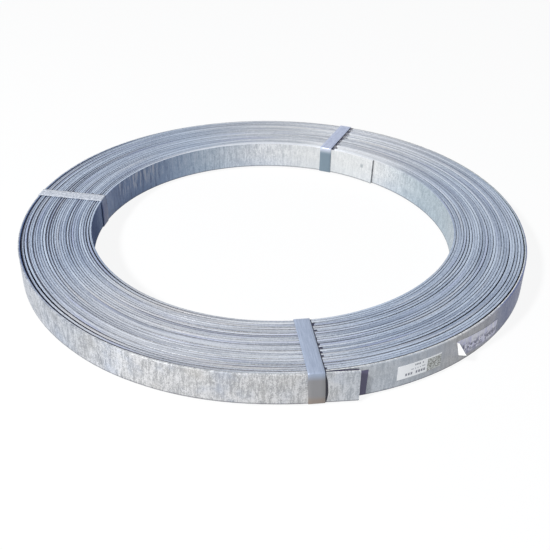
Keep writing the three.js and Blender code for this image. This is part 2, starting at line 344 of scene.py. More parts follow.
def edge_rise(turns):
    """How far the strip stands above its mean level after so many turns. Some turns stand
    proud of their neighbours over part of the ring, and the rest there lie lower."""
    total = sum(
        size * np.sin(2 * np.pi * waves * turns + phase) for size, waves, phase in LEVEL_WAVES
    )
    for angle, spread, rise, raised in RAISED_TURNS:
        past = turns - turn_fraction(angle)
        number = np.round(past)
        share = hump((past - number) * 360, spread)
        total += share * np.where(np.isin(number, raised), rise, -OTHERS_LOWER * rise)
    angle, spread, dip = FRONT_DIP
    return (total - dip * hump(degrees_past(turns, angle), spread)) * MM


TURNS, RADII = wind_strip()
OUTER_TURN = LAST_TURN - 1 + turn_fraction(TAIL_START_ANGLE)


def wall_radius(angle):
    """Radius of the outer wall at an angle round the ring."""
    turn = outermost_turn(angle) + turn_fraction(angle)
    return np.interp(turn, TURNS, RADII) + STRIP_THICKNESS


def bore_radius(angle):
    """Radius of the bore at an angle round the ring."""
    return np.interp(turn_fraction(angle), TURNS, RADII)


# ---- Mesh helpers ----

def make_mesh(name, vertices, faces, material, attributes=None, sharp_angle=60):
    """A mesh object with smooth faces, sharp edges past an angle, and named point attributes."""
    mesh = bpy.data.meshes.new(name)
    mesh.from_pydata([tuple(v) for v in vertices], [], faces)
    for key, values in (attributes or {}).items():
        layer = mesh.attributes.new(key, "FLOAT_VECTOR", "POINT")
        layer.data.foreach_set("vector", np.asarray(values, np.float32).ravel())
    mesh.validate()
    mesh.shade_smooth()
    mesh.set_sharp_from_angle(angle=math.radians(sharp_angle))
    mesh.materials.append(material)
    piece = bpy.data.objects.new(name, mesh)
    bpy.context.scene.collection.objects.link(piece)
    return piece


def tube_faces(rings, ring_size):
    """Faces of a skin through rings of points, with its two ends capped."""
    faces = []
    for ring in range(rings - 1):
        here = ring * ring_size
        there = here + ring_size
        for side in range(ring_size):
            after = (side + 1) % ring_size
            faces.append((here + side, there + side, there + after, here + after))
    faces.append(tuple(range(ring_size)))
    faces.append(tuple(reversed(range((rings - 1) * ring_size, rings * ring_size))))
    return faces


def dress(piece, slot, *nodes):
    """Hangs a piece on the root body and hides the CAD nodes that it stands for. slot is not
    used.
    """
    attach(piece, "root")
    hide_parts(*nodes)


# ---- The wound strip ----

def strip_section():
    """Outline of the strip across its thickness and up its width, with rounded edges."""
    corner = EDGE_RADIUS
    outer = STRIP_THICKNESS
    top = STRIP_WIDTH
    points = []
    corners = [(outer - corner, corner, -90), (outer - corner, top - corner, 0),
               (corner, top - corner, 90), (corner, corner, 180)]
    for index, (x, z, start) in enumerate(corners):
        for turned in (0, 45, 90):
            angle = math.radians(start + turned)
            points.append((x + corner * math.cos(angle), z + corner * math.sin(angle)))
        if index == 0:
            points += [(outer, 3 * corner), (outer, top - 3 * corner)]
        if index == 2:
            points += [(0, top - 3 * corner), (0, 3 * corner)]
    return np.array(points)


def cover(turns, across, heights):
    """How far points lie below the top of the turn beside them, and 1 where one covers them."""
    outer_covered = turns + 1 < LAST_TURN + turn_fraction(TAIL_START_ANGLE)
    inner_covered = turns > 1
    middle = STRIP_THICKNESS / 2
    outside = across > middle
    covered = np.where(outside, outer_covered, inner_covered) * 1.0
    beside = np.where(outside, edge_rise(turns + 1), edge_rise(turns - 1))
    flat = middle - EDGE_RADIUS
    side = np.clip((np.abs(across - middle) - flat) / EDGE_RADIUS, 0, 1)
    below = beside - edge_rise(turns) + STRIP_WIDTH - heights
    return below, covered * side


def tail_lengths(heights):
    """Length of the free end at each height: the cut slants and its lower corner is round."""
    lengths = TAIL_LENGTH - TAIL_CUT_SLANT * (1 - heights / STRIP_WIDTH)
    below = np.clip(TAIL_CORNER - heights, 0, TAIL_CORNER)
    return lengths - (TAIL_CORNER - np.sqrt(TAIL_CORNER ** 2 - below ** 2))


def coil_strip(material):
    """The strip from its inner end to its free outer end, as one long bar."""
    section = strip_section()
    across, heights = section[:, 0], section[:, 1]
    rise = edge_rise(TURNS)
    rings = []
    places = []
    windings = []
    along = np.concatenate([[0], np.cumsum(np.diff(TURNS) * 2 * np.pi * RADII[1:])])
    leans = bore_hump(BORE_LEAN, TURNS)
    for turns, radius, lift, length, lean in zip(TURNS, RADII, rise, along, leans):
        angle = math.radians(INNER_END_ANGLE + 360 * turns)
        distance = radius + across - lean * (1 - heights / STRIP_WIDTH)
        rings.append(np.stack([
            AXIS[0] + distance * math.cos(angle),
            AXIS[1] + distance * math.sin(angle),
            STRIP_BASE + lift + heights,
        ], axis=1))
        places.append(np.stack([np.full(len(section), length), across, heights], axis=1))
        below, covered = cover(turns, across, heights)
        windings.append(np.column_stack([np.full(len(section), turns), below, covered]))

    # The free outer end runs on straight, off the ring.
    start = math.radians(TAIL_START_ANGLE)
    outwards = np.array([math.cos(start), math.sin(start)])
    forwards = np.array([-outwards[1], outwards[0]])
    lengths = tail_lengths(heights)
    for step in range(1, TAIL_STEPS + 1):
        run = lengths * step / TAIL_STEPS
        lifted = RADII[-1] + across + run * math.tan(math.radians(TAIL_LIFT_ANGLE))
        plan = AXIS + lifted[:, None] * outwards + run[:, None] * forwards
        rings.append(np.column_stack([plan, STRIP_BASE + rise[-1] + heights]))
        places.append(np.stack([along[-1] + run, across, heights], axis=1))
        past = TURNS[-1] + run / (2 * math.pi * RADII[-1])
        windings.append(np.column_stack([past, below, covered]))
    faces = tube_faces(len(rings), len(section))
    piece = make_mesh(
        "coil_strip", np.concatenate(rings), faces, material,
        {"strip_place": np.concatenate(places), "winding": np.concatenate(windings)},
    )
    dress(piece, "galvanised_strip", "strip_coil")
    return piece


# ---- Straps ----

def bend_points(centre, start):
    """Points and outward normals round a quarter bend, from an angle in degrees."""
    turned = np.radians(start + np.linspace(0, 90, STRAP_BEND_STEPS + 1))
    normals = np.column_stack([np.cos(turned), np.sin(turned)])
    return np.array(centre) + STRAP_BEND_RADIUS * normals, normals


def straight_points(start, end, normal, steps):
    """Points and outward normals along a straight stretch, between its two ends."""
    shares = np.linspace(0, 1, steps + 1)[1:-1, None]
    points = np.array(start) + (np.array(end) - np.array(start)) * shares
    return points, np.tile(normal, (len(points), 1))


def strap_path(bore, wall, base, top):
    """Inner face of a strap in its side view: points (outwards, up) and their outward normals."""
    bend = STRAP_BEND_RADIUS
    middle = (bore + wall) / 2
    lap_in = middle - STRAP_OVERLAP / 2
    step_in = lap_in - STRAP_JOGGLE
    lap_out = middle + STRAP_OVERLAP / 2
    low = base - STRAP_LAYER
    lap_steps, side_steps, top_steps, inner_steps = 8, 12, 24, 3
    stretches = [
        (np.array([[lap_in, base]]), np.array([[0, -1]])),
        straight_points((lap_in, base), (wall - bend, base), (0, -1), lap_steps),
        bend_points((wall - bend, base + bend), -90),
        straight_points((wall, base + bend), (wall, top - bend), (1, 0), side_steps),
        bend_points((wall - bend, top - bend), 0),
        straight_points((wall - bend, top), (bore + bend, top), (0, 1), top_steps),
        bend_points((bore + bend, top - bend), 90),
        straight_points((bore, top - bend), (bore, base + bend), (-1, 0), side_steps),
        bend_points((bore + bend, base + bend), 180),
        straight_points((bore + bend, base), (step_in, base), (0, -1), inner_steps),
        (np.array([[step_in, base]]), np.array([[0, -1]])),
        (np.array([[lap_in, low]]), np.array([[0, -1]])),
        straight_points((lap_in, low), (lap_out, low), (0, -1), lap_steps),
        (np.array([[lap_out, low]]), np.array([[0, -1]])),
    ]
    points = np.concatenate([s[0] for s in stretches])
    normals = np.concatenate([s[1] for s in stretches]).astype(float)
    return points, normals


def strap_section():
    """Outline of a strap: (share of the width from -1 to 1, share of the thickness)."""
    edge = 0.97
    return np.array([
        (-edge, 0), (-0.5, 0), (0, 0), (0.5, 0), (edge, 0), (1, 0.25), (1, 0.75),
        (edge, 1), (0.5, 1), (0, 1), (-0.5, 1), (-edge, 1), (-1, 0.75), (-1, 0.25),
    ])


def strap_band(place, material):
    """A strap round the ring, which bows off the outer wall and the bore."""
    angle = STRAP_ANGLES[place]
    shift_in, shift_out, shift_foot = STRAP_SHIFTS[place]
    wall_bow, bore_bow, twist = STRAP_BOWS[place]
    low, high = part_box("strap_" + place)
    bore = bore_radius(angle) * math.cos(math.radians(STRAP_HALF_ANGLE)) - STRAP_CLEARANCE
    wall = wall_radius(angle) + STRAP_CLEARANCE
    top = high.z - STRAP_THICKNESS
    base = low.z + STRAP_THICKNESS + STRAP_LAYER
    points, normals = strap_path(bore, wall, base, top)
    section = strap_section()
    turned = math.radians(angle)
    outwards = np.array([math.cos(turned), math.sin(turned)])
    sideways = np.array([-outwards[1], outwards[0]])
    height = (points[:, 1] - base) / (top - base)
    bulge = np.sin(np.pi * np.clip(height, 0, 1)) ** 1.3 * MM
    on_wall = np.isclose(normals[:, 0], 1) * bulge * wall_bow
    on_bore = np.isclose(normals[:, 0], -1) * bulge * bore_bow
    run = np.concatenate([[0], np.cumsum(np.linalg.norm(np.diff(points, axis=0), axis=1))])
    rings = []
    places = []
    facings = []
    for point, normal, bow, length in zip(points, normals, on_wall + on_bore, run):
        lift = section[:, 1] * STRAP_THICKNESS + bow * (1 + twist * section[:, 0])
        flat = point + lift[:, None] * normal
        outer = np.interp(flat[:, 1:], (base, top), (shift_foot, shift_out))
        out = np.clip((flat[:, :1] - bore) / (wall - bore), 0, 1)
        aside = section[:, :1] * STRAP_WIDTH / 2 + (shift_in + (outer - shift_in) * out) * MM
        plan = AXIS + flat[:, :1] * outwards + aside * sideways
        rings.append(np.column_stack([plan, flat[:, 1]]))
        places.append(np.column_stack([
            np.full(len(section), length), section[:, 0] * STRAP_WIDTH / 2, flat[:, 1],
        ]))
        facings.append(np.tile([*normal, 0], (len(section), 1)))
    faces = tube_faces(len(rings), len(section))
    piece = make_mesh(
        "band_" + place, np.concatenate(rings), faces, material,
        {"strap_place": np.concatenate(places), "strap_facing": np.concatenate(facings)},
        sharp_angle=40,
    )
    dress(piece, "steel_strapping", "strap_" + place)
    return piece


# ---- Stickers ----

def wall_sheet(name, material, slot, node, sheet, peel=None):
    """A thin sheet stuck on the outer wall. peel gives how far a point of it stands off the
    wall, is drawn along it and turns, from its place (along, up) on the sheet. The third part
    of a place is 1 on the sheet's front and 0 on its back."""
    radius = wall_radius(sheet["from"])
    width = math.radians(sheet["to"] - sheet["from"]) * radius
    height = sheet_height(sheet)
    columns = math.ceil(width / SHEET_STEP)
    rows = math.ceil(height / SHEET_STEP)
    front = []
    back = []
    places = []
    for along in np.linspace(0, width, columns + 1):
        for up in np.linspace(0, height, rows + 1):
            point, outwards = sheet_point(sheet, radius, along, up, peel)
            front.append(point + SHEET_THICKNESS * outwards)
            back.append(point)
            places.append((along, up, 1))
    count = rows + 1
    faces = []
    for column in range(columns):
        for row in range(rows):
            first = column * count + row
            faces.append((first, first + count, first + count + 1, first + 1))
    under = len(front)
    faces += [tuple(under + corner for corner in reversed(face)) for face in faces]
    rim = list(range(rows))
    rim += [column * count + rows for column in range(columns)]
    rim += [columns * count + row for row in range(rows, 0, -1)]
    rim += [column * count for column in range(columns, 0, -1)]
    for here, there in zip(rim, rim[1:] + rim[:1]):
        faces.append((here, there, under + there, under + here))
    places += [(along, up, 0) for along, up, side in places]
    piece = make_mesh(
        name, np.array(front + back), faces, material,
        {"sheet_place": np.array(places)}, sharp_angle=50,
    )
    dress(piece, slot, node)
    return piece


def sheet_height(sheet):
    """Height of a sheet at its first end."""
    return (sheet["high"][0] - sheet["low"][0]) * MM


def sheet_point(sheet, radius, along, up, peel):
    """A point of a sheet's back and the way its front faces there."""
    share = up / sheet_height(sheet)
    low = np.interp(along / MM, sheet["places"], sheet["low"])
    high = np.interp(along / MM, sheet["places"], sheet["high"])
    rise = (low + (high - low) * share) * MM
    stand, drawn, turned = peel(along, up) if peel else (0, 0, 0)
    angle = math.radians(sheet["from"]) + (along + drawn) / radius
    outwards = np.array([math.cos(angle), math.sin(angle), 0])
    sideways = np.array([-math.sin(angle), math.cos(angle), 0])
    distance = wall_radius(math.degrees(angle)) + SHEET_GAP + stand
    point = np.array([*AXIS, STRIP_BASE + rise]) + distance * outwards
    return point, math.cos(turned) * outwards + math.sin(turned) * sideways


def film_peel(along, up):
    """The film's free end: it bends off the wall and stands out, turned past square."""
    height = sheet_height(FILM_LABEL)
    width = PEEL_WIDTH_LOW + (PEEL_WIDTH_HIGH - PEEL_WIDTH_LOW) * up / height
    past = width - along
    if past <= 0:
        return 0, 0, 0
    turned = min(past / PEEL_BEND_RADIUS, math.radians(PEEL_TURN))
    straight = past - turned * PEEL_BEND_RADIUS
    stand = PEEL_BEND_RADIUS * (1 - math.cos(turned)) + straight * math.sin(turned)
    back = PEEL_BEND_RADIUS * math.sin(turned) + straight * math.cos(turned)
    return stand, past - back, turned


# ---- Node helpers ----

# The colour sockets of a mix node.
MIX_FIRST, MIX_SECOND, MIX_RESULT = 6, 7, 2


class Value:
    """Something that a shader's nodes work out, open to plain sums and comparisons."""

    def __init__(self, socket):
        self.socket = socket

    def __add__(self, other):
        return maths("ADD", self, other)

    def __sub__(self, other):
        return maths("SUBTRACT", self, other)

    def __rsub__(self, other):
        return maths("SUBTRACT", other, self)

    def __mul__(self, other):
        return maths("MULTIPLY", self, other)

    def __truediv__(self, other):
        return maths("DIVIDE", self, other)

    def __lt__(self, other):
        return maths("LESS_THAN", self, other)

    def __gt__(self, other):
        return maths("GREATER_THAN", self, other)


def add_node(tree, kind, inputs=None, **settings):
    """A node with these settings, whose inputs are values, numbers or linear colours."""
    made = tree.nodes.new(kind)
    for key, setting in settings.items():
        setattr(made, key, setting)
    for key, given in (inputs or {}).items():
        if isinstance(given, Value):
            tree.links.new(given.socket, made.inputs[key])
        else:
            made.inputs[key].default_value = given
    return made


def worked_out(kind, inputs, output=0, **settings):
    """The value that a node makes of its inputs, at least one of which is a value."""
    tree = next(given.socket.id_data for given in inputs.values() if isinstance(given, Value))
    return Value(add_node(tree, kind, inputs, **settings).outputs[output])


def drive(shader, key, value):
    """Gives one of a shader's inputs a value."""
    value.socket.id_data.links.new(value.socket, shader.inputs[key])


def attribute(tree, name):
    """A named attribute of the mesh, whole and as its three parts."""
    whole = Value(add_node(tree, "ShaderNodeAttribute", attribute_name=name).outputs["Vector"])
    parts = add_node(tree, "ShaderNodeSeparateXYZ", {0: whole}).outputs
    return whole, [Value(part) for part in parts]


def maths(operation, first, second=0.0):
    """The result of a sum on one or two values."""
    return worked_out("ShaderNodeMath", {0: first, 1: second}, operation=operation)


def span(value, low, high, to_low=0.0, to_high=1.0):
    """A value taken smoothly from one range to another and kept inside it."""
    return worked_out(
        "ShaderNodeMapRange",
        {"Value": value, "From Min": low, "From Max": high, "To Min": to_low, "To Max": to_high},
        interpolation_type="SMOOTHSTEP",
    )


def inside(value, low, high, soft=0.15 * MM):
    """1 where a value lies between two limits, with soft edges."""
    return span(value, low - soft, low + soft) * span(value, high + soft, high - soft)


def weighed(*parts):
    """The sum of some values, each times its weight."""
    total = 0.0
    for value, weight in parts:
        sockets = {0: value, 1: weight, 2: total}
        total = worked_out("ShaderNodeMath", sockets, operation="MULTIPLY_ADD")
    return total


def noise(place, scale, stretch=None, detail=3.0, roughness=0.55, distortion=0.0):
    """Cloudy variation from 0 to 1, stretched by a scale for each direction."""
    if stretch:
        place = worked_out("ShaderNodeVectorMath", {0: place, 1: stretch}, operation="MULTIPLY")
    return worked_out("ShaderNodeTexNoise", {
        "Vector": place, "Scale": scale, "Detail": detail, "Roughness": roughness,
        "Distortion": distortion,
    })


def random_step(value):
    """A number from 0 to 1 for each whole step of a value."""
    step = maths("FLOOR", value)
    return worked_out("ShaderNodeTexWhiteNoise", {"W": step}, noise_dimensions="1D")


def around(angle, middle, reach):
    """1 at one side of the ring, falling to 0 so many degrees either way, from the angle in
    turns."""
    facing = maths("COSINE", (angle - middle / 360) * (2 * math.pi))
    return span(facing, math.cos(math.radians(reach)), 1)


def linear(colour):
    """A linear colour. One of three numbers holds screen values, 0 to 255."""
    if isinstance(colour, Value) or len(colour) == 4:
        return colour
    shares = [value / 255 for value in colour]
    return tuple(
        s / 12.92 if s <= 0.04045 else ((s + 0.055) / 1.055) ** 2.4 for s in shares
    ) + (1.0,)


def blended(share, first, second):
    """Two colours mixed by a share."""
    sockets = {0: share, MIX_FIRST: linear(first), MIX_SECOND: linear(second)}
    return worked_out("ShaderNodeMix", sockets, MIX_RESULT, data_type="RGBA")


def new_material(name, metallic, roughness=0.5):
    """A material, its node tree and its shader."""
    material = bpy.data.materials.new(name)
    material.use_nodes = True
    tree = material.node_tree
    shader = tree.nodes["Principled BSDF"]
    shader.inputs["Metallic"].default_value = metallic
    shader.inputs["Roughness"].default_value = roughness
    return material, tree, shader


def bumped(shader, height, distance):
    """Gives a shader small relief."""
    relief = worked_out("ShaderNodeBump", {"Height": height, "Distance": distance})
    drive(shader, "Normal", relief)


# ---- The strip's zinc ----

# Tints on some sides of the ring: on the wall or the bore, angle of the middle, reach in
# degrees, strength, and the colour or the darker and lighter one. The first are lighter,
# warmer or darker patches on the wall, painted before the bore gets its own tones. The others,
# painted after, are painted shade: the duller, bluer shade that the photo shows there.
FIRST_TINTS = [
    ("wall", 294, 16, 0.5, (168, 178, 190)),
    ("wall", 311, 14, 0.3, (190, 186, 184)),
    ("wall", 212, 34, 0.5, (100, 110, 126), (152, 162, 174)),
]
# The deepest painted shade, in the bore at the left, and how far it reaches in degrees.
DEEP_SHADE_ANGLE = 191
DEEP_SHADE_REACH = 22
SHADE_TINTS = [
    ("bore", 142, 50, 0.85, (128, 147, 166), (156, 173, 190)),
    ("bore", 178, 66, 0.82, (78, 106, 154)),
    ("bore", DEEP_SHADE_ANGLE, DEEP_SHADE_REACH, 0.85, (58, 76, 116)),
    ("bore", 10, 40, 0.8, (126, 142, 153), (156, 172, 181)),
    ("wall", 345, 36, 0.7, (84, 98, 146)),
    ("wall", 330, 11, 0.7, (56, 76, 134)),
]

# A small dark spot in the bore, at an angle and a height up the strip.
DARK_SPOT_ANGLE = 54.6
DARK_SPOT_HEIGHT = 25 * MM


def galvanised_strip():
    """Zinc-coated strip: mottled faces with streaks across it, and bluer sheared edges.
    Its faces are tinted on the sides of the ring that look darker or bluer in the photo, mostly
    with painted shade. Painted light lies in the bore and on some turns, and painted shade and
    shadows lie between the turns, along the foot, by the free end and beside the straps."""
    material, tree, shader = new_material("galvanised_strip", metallic=0.2)
    place, parts = attribute(tree, "strip_place")
    across, height = parts[1:]
    turns, below, covered = attribute(tree, "winding")[1]
    angle = turns + INNER_END_ANGLE / 360
    sides = {"bore": span(across, 2 * MM, 1 * MM), "wall": span(across, 1 * MM, 2 * MM)}

    # Fine zinc mottling, with streaks that stand across the strip.
    streaks = noise(place, 400, (1.0, 0.5, 0.16), detail=4, roughness=0.75)
    crinkle = noise(place, 420, (1.0, 0.5, 0.8), detail=4, roughness=0.9, distortion=1.5)
    patches = noise(place, 75, (1.0, 0.3, 0.9), detail=5, roughness=0.6)
    mottle = weighed((streaks, 0.32), (crinkle, 0.52), (patches, 0.16))

    face = zinc_face(place, height, angle, mottle, sides)
    edge = sheared_edge(place, across, turns, angle, face)
    face = with_painted_shade(face, height, turns, angle, sides["wall"])

    # Painted shade: down between the turns the faces are painted dark.
    gap_shade_depth = span(below, 0.05 * MM, 0.8 * MM)
    face = blended(gap_shade_depth * covered, face, (16, 20, 44))

    on_top = span(height, STRIP_WIDTH - 0.3 * MM, STRIP_WIDTH - 0.1 * MM)
    on_base = span(height, 0.3 * MM, 0.1 * MM)
    drive(shader, "Base Color", blended(maths("MAXIMUM", on_top, on_base), face, edge))
    # The bore is rougher where its deepest painted shade lies.
    deep_shade = around(angle, DEEP_SHADE_ANGLE, DEEP_SHADE_REACH) * sides["bore"]
    drive(shader, "Roughness", span(mottle, 0.3, 0.7, 0.5, 0.32) + deep_shade * 0.5)
    bumped(shader, mottle, 0.1 * MM)
    return material


def tinted(face, tints, angle, tone, sides):
    """A face with tints painted over it, each plain or between two colours by a tone."""
    for side, middle, reach, strength, *colours in tints:
        tint = blended(tone, *colours) if len(colours) == 2 else colours[0]
        face = blended(around(angle, middle, reach) * sides[side] * strength, face, tint)
    return face


def zinc_face(place, height, angle, mottle, sides):
    """Colour of the strip's faces on the outer wall and in the bore, with painted light and
    shade.
    """
    on_bore = sides["bore"]
    on_wall = sides["wall"]
    smooth = around(angle, 306, 30) * on_wall
    crisp = around(angle, 264, 36) * on_wall
    contrast = 1.0 - smooth * 0.35 + crisp * 1.1
    tone = span((mottle - 0.5) * contrast, -0.075, 0.075)
    face = blended(tone, (120, 122, 126), (204, 204, 206))
    # The front-left wall is painted a little lighter: a painted highlight where it faces the
    # light.
    face = blended(crisp * 0.25, face, (214, 214, 212))
    clouds = noise(place, 22, (1.0, 0.3, 1.0))
    face = blended(span(clouds, 0.5, 0.7, 0, 0.4), face, (150, 162, 184))
    face = blended(span(clouds, 0.5, 0.3, 0, 0.25), face, (190, 184, 172))
    face = tinted(face, FIRST_TINTS, angle, tone, sides)

    # The bore is painted brighter as painted light, and bluer low down as painted shade, and it
    # has a clean part at the back.
    bore_face = blended(tone, (164, 168, 173), (226, 227, 228))
    bore_face = blended(span(height, 26 * MM, 0, 0, 0.35), bore_face, (158, 172, 192))
    bore_face = blended(around(angle, 66, 28) * 0.6, bore_face, (202, 203, 201))
    face = blended(on_bore, face, bore_face)
    off_dark_spot = maths("ABSOLUTE", height - DARK_SPOT_HEIGHT)
    dark_spot = around(angle, DARK_SPOT_ANGLE, 0.8) * span(off_dark_spot, 5 * MM, 1 * MM)
    face = blended(dark_spot * on_bore * 0.6, face, (120, 130, 136))
    # Painted shade, duller and bluer, on some sides of the ring.
    face = tinted(face, SHADE_TINTS, angle, tone, sides)

    # Scuffs in the bore at the back left, pale ones high up and dark ones all the way.
    scuffs = noise(place, 190, (1.0, 0.5, 0.1), detail=5, roughness=0.8)
    scuffed = maths("MAXIMUM", around(angle, 146, 22), around(angle, 112, 50) * 0.35) * on_bore
    pale = span(scuffs, 0.51, 0.57) * span(height, 6 * MM, 24 * MM)
    face = blended(pale * scuffed * 0.7, face, (176, 180, 192))
    dark = span(scuffs, 0.48, 0.42) * scuffed
    return blended(dark * 0.6, face, (48, 62, 100))


def with_painted_shade(face, height, turns, angle, on_wall):
    """A face with painted shade along its lower edge, painted shadows behind the free outer end
    and beside the front strap, and the free end a little darker."""
    # Painted shade along the foot of the wall and the bore.
    face = blended(span(height, 2.2 * MM, 0.8 * MM, 0, 0.65), face, (66, 70, 80))
    # Painted shadow behind the free outer end.
    face = blended(tail_shade(turns, height, on_wall), face, (84, 80, 108))
    on_tail = on_wall * (turns > OUTER_TURN + 0.9)
    face = blended(on_tail * 0.12, face, (120, 116, 116))
    # Painted shadow where the front strap bulges off the wall.
    return blended(strap_bulge_shadow(turns, angle, height) * on_tail, face, (40, 40, 52))


def sheared_edge(place, across, turns, angle, face):
    """Colour of the strip's edges: fine lines along them, each turn a little lighter or
    darker, and the outermost one like its face. Painted highlights and shade lie on some turns,
    painted shade at the gaps, and painted shadows by the free end and beside the straps."""
    turn_tone = noise(place, 3.4, (1.0, 0.0, 0.0), detail=2)
    turn_tint = noise(place, 4.7, (1.0, 0.0, 0.0), detail=2)
    fine = noise(place, 1100, (0.12, 1.0, 0.0))
    specks = noise(place, 500, (1.0, 1.0, 0.0), detail=4, roughness=0.7)
    tone = span(weighed((turn_tone, 0.5), (fine, 0.2), (specks, 0.3)), 0.4, 0.6)
    blue_edge = blended(tone, (122, 135, 157), (184, 196, 213))
    grey_edge = blended(tone, (134, 140, 152), (206, 209, 214))
    pale = maths("MAXIMUM", around(angle, 252, 46), around(angle, 70, 52))
    edge = blended(pale, blue_edge, grey_edge)
    edge = blended(around(angle, 244, 30) * 0.32, edge, (142, 146, 156))
    warm = span(turn_tint, 0.52, 0.66, 0, 0.2)
    edge = blended(warm + warm * pale, edge, (190, 184, 180))
    edge = blended(span(turn_tint, 0.46, 0.34, 0, 0.4), edge, (150, 158, 192))

    # Painted highlights: the innermost turns are painted bright at the back.
    rim = span(turns, 1.5, 1.1) * around(angle, 95, 60)
    edge = blended(rim * 0.6, edge, (232, 235, 240))
    lit = span(turns, 6.5, 4.5) * around(angle, 58, 26)
    edge = blended(lit * 0.5, edge, (236, 238, 242))
    # Painted highlights and shade on some turns.
    lighter, darker = turn_highlights_and_shade(turns, angle)
    edge = blended(lighter * 0.75, edge, (226, 230, 240))
    edge = blended(darker * 0.8, edge, (104, 112, 138))
    # Painted shade in lines at the gaps between turns.
    lines = gap_shade_lines(place, turns, angle, across)
    edge = blended(lines * 0.93, edge, (14, 18, 50))
    edge = blended(span(turns, OUTER_TURN - 0.04, OUTER_TURN), edge, face)
    # Painted shade in the gap under the free outer end.
    edge = blended(tail_gap_shade(turns, across), edge, (34, 36, 56))
    # Painted shadows beside the straps.
    for strap in STRAP_ANGLES:
        edge = blended(strap_shade(strap, turns, angle), edge, (22, 24, 54))
    return edge


def tail_run(turns):
    """Distance from where the free outer end leaves the ring, along the turn under it."""
    return (turns - OUTER_TURN) * (2 * math.pi * wall_radius(TAIL_MIDDLE_ANGLE))


def tail_shade(turns, height, on_wall):
    """1 on the wall behind the free outer end and a little past it, clear of the top, where its
    shadow is painted.
    """
    run = tail_run(turns)
    drop = STRIP_WIDTH - height
    reach = TAIL_LENGTH + TAIL_SHADE_REACH
    end = span(drop, 0, STRIP_WIDTH, reach, reach - TAIL_SHADE_SLANT)
    clear = span(run, TAIL_SHADE_START, TAIL_LENGTH, 0, TAIL_SHADE_CLEAR)
    clear = clear + (run > TAIL_LENGTH) * (TAIL_SHADE_DROP - TAIL_SHADE_CLEAR)
    return (run > 0) * (run < end) * (drop > clear) * on_wall


def tail_gap_shade(turns, across):
    """1 on the outer side of the edge that the free outer end lies against, where the shade of
    the gap is painted.
    """
    run = tail_run(turns)
    width = span(run, 0, TAIL_LENGTH, 1.5 * MM, 0.2 * MM)
    return (across > STRIP_THICKNESS - width) * inside(run, -5 * MM, TAIL_LENGTH)


def past_strap(strap, turns, angle, shift):
    """Distance past a strap's edge on its shaded side, and 1 on the strap's side of the ring."""
    radius = turns * TURN_PITCH + (FIRST_TURN_RADIUS + STRIP_THICKNESS / 2)
    away = (angle - STRAP_ANGLES[strap] / 360) * (2 * math.pi)
    aside = (radius * maths("SINE", away) - shift) * STRAP_SHADOWS[strap][0]
    return aside - STRAP_WIDTH / 2, maths("COSINE", away) > 0


def strap_shade(strap, turns, angle):
    """1 over the strip's edges in a ragged line beside a strap, on its shaded side, where the
    strap's shadow is painted.
    """
    shift_in, shift_out = STRAP_SHIFTS[strap][:2]
    shift = span(turns, 0, LAST_TURN, shift_in * MM, shift_out * MM)
    past, near = past_strap(strap, turns, angle, shift)
    least, most = STRAP_SHADOWS[strap][1:]
    reach = span(random_step(turns), 0.6, 1.0, least * MM, most * MM)
    return (past > -1 * MM) * (past < reach) * near


def strap_bulge_shadow(turns, angle, height):
    """1 on the outer face where the front strap bulges off it and its shadow is painted: an arc,
    widest half way up.
    """
    shift_out, shift_foot = STRAP_SHIFTS["front"][1:]
    shift = span(height, STRIP_WIDTH, 0, shift_out * MM, shift_foot * MM)
    past, near = past_strap("front", turns, angle, shift)
    half = STRIP_WIDTH / 2
    up = (height - half) / half
    reach = span(up * up, 0, 1, 3.3 * MM, 0.9 * MM)
    return (past > -3 * MM) * (past < reach) * near


def near_turn(turns, middle, reach):
    """1 at one turn, falling to 0 so many turns either side."""
    return span(maths("ABSOLUTE", turns - middle), reach, 0)


def turn_highlights_and_shade(turns, angle):
    """How much painted highlight and shade each turn has beside its neighbours, from 0 to 1."""
    shares = [0.0, 0.0]
    for middle, spread, strength, *kinds in TURN_HIGHLIGHTS_AND_SHADE:
        side = around(angle, middle, spread) * strength
        for kind, picked in enumerate(kinds):
            for turn in picked:
                share = near_turn(turns, turn, TURN_LIGHT_AND_SHADE_REACH) * side
                shares[kind] = maths("MAXIMUM", share, shares[kind])
    return shares


def gap_shade_lines(place, turns, angle, across):
    """1 where the outer side of a turn's edge is painted dark, as painted shade at the gaps: wide
    lines in groups on the left of the ring, and some thin ones elsewhere."""
    tone = noise(place, 4.1, (1.0, 0.0, 0.0), detail=2)
    groups = 0.0
    for middle, reach, strength in GAP_SHADE_GROUPS:
        groups = maths("MAXIMUM", groups, near_turn(turns, middle, reach) * strength)
    wide = span(groups, 0, 1, 0.45 * MM, 1.4 * MM) * around(angle, 168, 62)
    width = wide + span(tone, 0.45, 0.65, 0, 0.5 * MM)
    return across > STRIP_THICKNESS - width


# ---- Other materials ----

